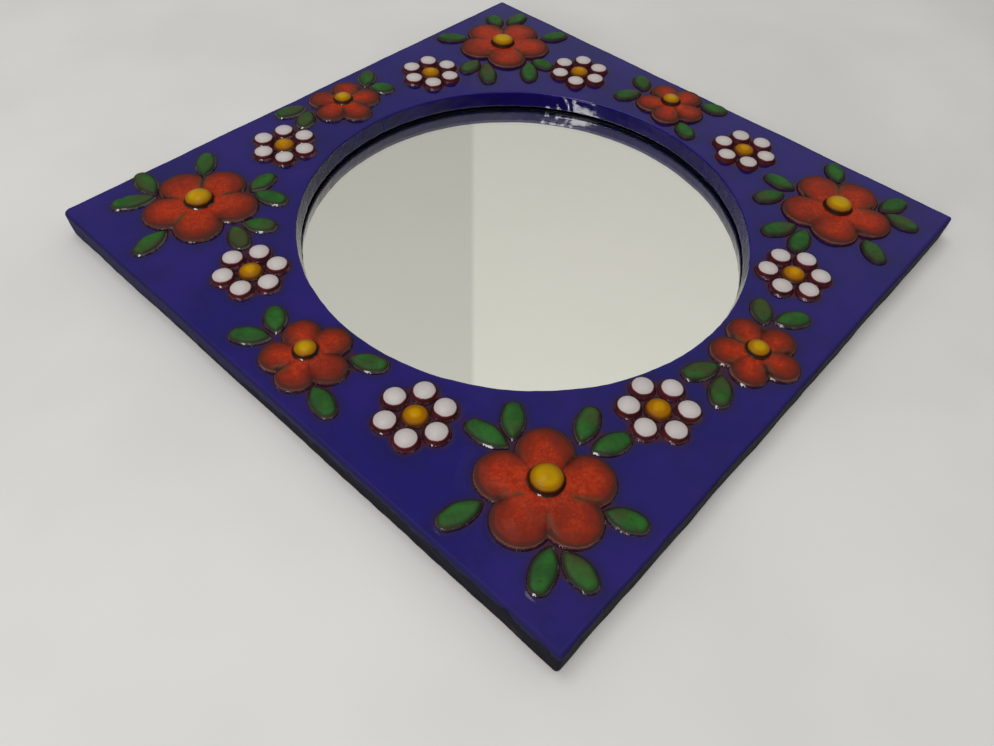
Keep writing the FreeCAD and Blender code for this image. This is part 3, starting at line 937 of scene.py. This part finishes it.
# The buttons stand in brown round their foot: the petals' glaze there, darkened as painted shade
yellow = pad_material("yellow_glaze", cap=srgb(164, 128, 0), cap_shade_and_mottle=srgb(132, 88, 0),
                      flank=srgb(46, 21, 11), flank_top=2.0, cap_from=0.6, cap_to=1.6,
                      shine=0.07, ground=UMBER)
amber = pad_material("amber_glaze", cap=srgb(166, 121, 0), cap_shade_and_mottle=srgb(134, 86, 0),
                     flank=srgb(72, 36, 14), flank_top=1.0, cap_from=0.2, cap_to=2.0,
                     shine=0.05, ground=MAROON_FOOT)
white = pad_material("white_glaze", cap=srgb(173, 168, 170), cap_shade_and_mottle=srgb(162, 155, 157),
                     flank=srgb(72, 23, 29), flank_top=2.3, cap_from=0.8, cap_to=1.2,
                     shine=0.1, ground=MAROON_FOOT)
for seed, node in enumerate(nodes):
    if "_flower_" in node:
        relief_piece(node, red, seed, FLOWER_WOBBLE, FLOWER_SOFTNESS)
    elif "_leaves_" in node:
        relief_piece(node, green, seed, LEAF_WOBBLE, LEAF_SOFTNESS)
    elif "_button_" in node:
        relief_piece(node, yellow, seed, BUTTON_WOBBLE, BUTTON_SOFTNESS)
    elif "_centre_" in node:
        relief_piece(node, amber, seed, BUTTON_WOBBLE, BUTTON_SOFTNESS)
    elif node.startswith("daisy_petals"):
        relief_piece(node, white, seed, PELLET_WOBBLE, PELLET_SOFTNESS)

mirror_piece()
dress_node("setting_putty", putty_material())
dress_node("backing_board", board_material())
dress_node(LOOP, wire_material())


# Stage, light and camera

FLOOR_HALF = 6.0
FLOOR_UNDER_SLAB = 1 * MM
FLOOR_OPENING_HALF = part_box(SLAB)[1].x - UNDERCUT - FOOT_CHAMFER - FLOOR_UNDER_SLAB
FLOOR_DROP = 0.2 * MM
FLOOR_PALE = srgb(196, 196, 198)
FLOOR_GREY = srgb(188, 188, 190)

# Lamps: azimuth and elevation in degrees and distance, as seen from the part, then size and power
WINDOW_WAY = (193, 33, 1.65)
WINDOW_SIZE = (0.5, 1.4)
WINDOW_POWER = 18.0
WINDOW_TONE = (1.0, 0.98, 0.95)
SKY_WAY = (104, 76, 1.6)
SKY_SIZE = (0.7, 0.7)
SKY_POWER = 6.5
SKY_TONE = (1.0, 0.99, 0.97)

# The studio's walls and ceiling: darker at the horizon and behind the camera, paler overhead, and
# one wall of a deeper tone whose edge shows in the mirror. Light from below the floor comes only
# to the back. A span is where a change of tone begins and ends, as the cosine of an angle.
WALL_TONE = (1.0, 0.985, 0.89, 1)
HORIZON_LEVEL = 0.28
ZENITH_LEVEL = 0.835
CORNER_WAY = (0.6931, -0.7206, -0.0171)
CORNER_SPAN = (-0.003, 0.003)
DEEP_WALL_SHARE = 0.82
BEHIND_WAY = (-0.62, -0.51, -0.60)
BEHIND_SPAN = (0.2, 0.65)
BEHIND_SHARE = 0.1
BELOW_SPAN = (0.1, 0.3)
BELOW_LEVEL = 0.7
BACKDROP = (0.70, 0.70, 0.70, 1)


def square(half, z):
    return [(-half, -half, z), (half, -half, z), (half, half, z), (-half, half, z)]


def lay_floor(material):
    """The floor, left open under the slab so that the back has light when seen from below."""
    mesh = bpy.data.meshes.new("floor")
    points = square(FLOOR_HALF, -FLOOR_DROP) + square(FLOOR_OPENING_HALF, -FLOOR_DROP)
    mesh.from_pydata(points, [], [(i, (i + 1) % 4, (i + 1) % 4 + 4, i + 4) for i in range(4)])
    mesh.materials.append(material)
    floor = bpy.data.objects.new("floor", mesh)
    bpy.context.scene.collection.objects.link(floor)


def floor_material():
    """A pale floor that can be seen through from underneath."""
    s = Shader("pale_floor")
    s.set(Base_Color=s.mix(s.range(s.noise(0.15), 0.3, 0.7), FLOOR_PALE, FLOOR_GREY), Roughness=0.8)
    clear = s.tree.nodes.new("ShaderNodeBsdfTransparent")
    facing = s.tree.nodes.new("ShaderNodeNewGeometry")
    either = s.tree.nodes.new("ShaderNodeMixShader")
    output = next(n for n in s.tree.nodes if n.type == "OUTPUT_MATERIAL")
    s.link(facing.outputs["Backfacing"], either.inputs["Fac"])
    s.link(s.surface.outputs["BSDF"], either.inputs[1])
    s.link(clear.outputs["BSDF"], either.inputs[2])
    s.link(either.outputs["Shader"], output.inputs["Surface"])
    return s.material


def from_way(azimuth, elevation, distance):
    """A place seen from the origin in this direction, in degrees."""
    turn = math.radians(azimuth)
    lift = math.radians(elevation)
    return Vector((distance * math.cos(lift) * math.cos(turn), distance * math.cos(lift) * math.sin(turn),
                   distance * math.sin(lift)))


def area_light(name, way, size, power, colour):
    """A rectangular lamp that faces the part."""
    data = bpy.data.lights.new(name, "AREA")
    data.shape = "RECTANGLE"
    data.size, data.size_y = size
    data.energy = power
    data.color = colour
    lamp = bpy.data.objects.new(name, data)
    lamp.location = from_way(*way)
    lamp.rotation_mode = "QUATERNION"
    lamp.rotation_quaternion = (-from_way(*way)).to_track_quat("-Z", "Y")
    bpy.context.scene.collection.objects.link(lamp)


def studio_world():
    world = bpy.data.worlds.new("studio")
    world.use_nodes = True
    tree = world.node_tree
    tree.nodes.clear()
    way = tree.nodes.new("ShaderNodeTexCoord").outputs["Generated"]

    def level(direction, low, high, to_low, to_high):
        dot = tree.nodes.new("ShaderNodeVectorMath")
        dot.operation = "DOT_PRODUCT"
        tree.links.new(way, dot.inputs[0])
        dot.inputs[1].default_value = direction
        span = tree.nodes.new("ShaderNodeMapRange")
        tree.links.new(dot.outputs["Value"], span.inputs["Value"])
        span.inputs["From Min"].default_value = low
        span.inputs["From Max"].default_value = high
        span.inputs["To Min"].default_value = to_low
        span.inputs["To Max"].default_value = to_high
        return span.outputs["Result"]

    def product(first, second):
        times = tree.nodes.new("ShaderNodeMath")
        times.operation = "MULTIPLY"
        tree.links.new(first, times.inputs[0])
        tree.links.new(second, times.inputs[1])
        return times.outputs["Value"]

    strength = product(level((0, 0, 1), 0, 1, HORIZON_LEVEL, ZENITH_LEVEL),
                       level(CORNER_WAY, *CORNER_SPAN, DEEP_WALL_SHARE, 1.0))
    strength = product(strength, level(BEHIND_WAY, *BEHIND_SPAN, 1.0, BEHIND_SHARE))
    below = tree.nodes.new("ShaderNodeMath")
    below.operation = "ADD"
    tree.links.new(strength, below.inputs[0])
    tree.links.new(level((0, 0, -1), *BELOW_SPAN, 0.0, BELOW_LEVEL), below.inputs[1])
    strength = below.outputs["Value"]
    room = tree.nodes.new("ShaderNodeBackground")
    room.inputs["Color"].default_value = WALL_TONE
    tree.links.new(strength, room.inputs["Strength"])
    backdrop = tree.nodes.new("ShaderNodeBackground")
    backdrop.inputs["Color"].default_value = BACKDROP
    seen = tree.nodes.new("ShaderNodeLightPath")
    either = tree.nodes.new("ShaderNodeMixShader")
    output = tree.nodes.new("ShaderNodeOutputWorld")
    tree.links.new(seen.outputs["Is Camera Ray"], either.inputs["Fac"])
    tree.links.new(room.outputs["Background"], either.inputs[1])
    tree.links.new(backdrop.outputs["Background"], either.inputs[2])
    tree.links.new(either.outputs["Shader"], output.inputs["Surface"])
    return world


lay_floor(floor_material())
area_light("window", WINDOW_WAY, WINDOW_SIZE, WINDOW_POWER, WINDOW_TONE)
area_light("sky", SKY_WAY, SKY_SIZE, SKY_POWER, SKY_TONE)
bpy.context.scene.world = studio_world()

camera_data = bpy.data.cameras.new("camera")
camera_data.lens = CAMERA_LENS
camera_data.sensor_width = SENSOR_WIDTH
camera_data.clip_start = NEAREST_SEEN
camera = bpy.data.objects.new("camera", camera_data)
camera.location = CAMERA_AT
camera.rotation_mode = "QUATERNION"
look = (Vector(CAMERA_AIM) - Vector(CAMERA_AT)).to_track_quat("-Z", "Y")
camera.rotation_quaternion = look @ Quaternion((0, 0, 1), math.radians(CAMERA_ROLL))
bpy.context.scene.collection.objects.link(camera)
bpy.context.scene.camera = camera

bpy.context.scene.view_settings.view_transform = "Standard"
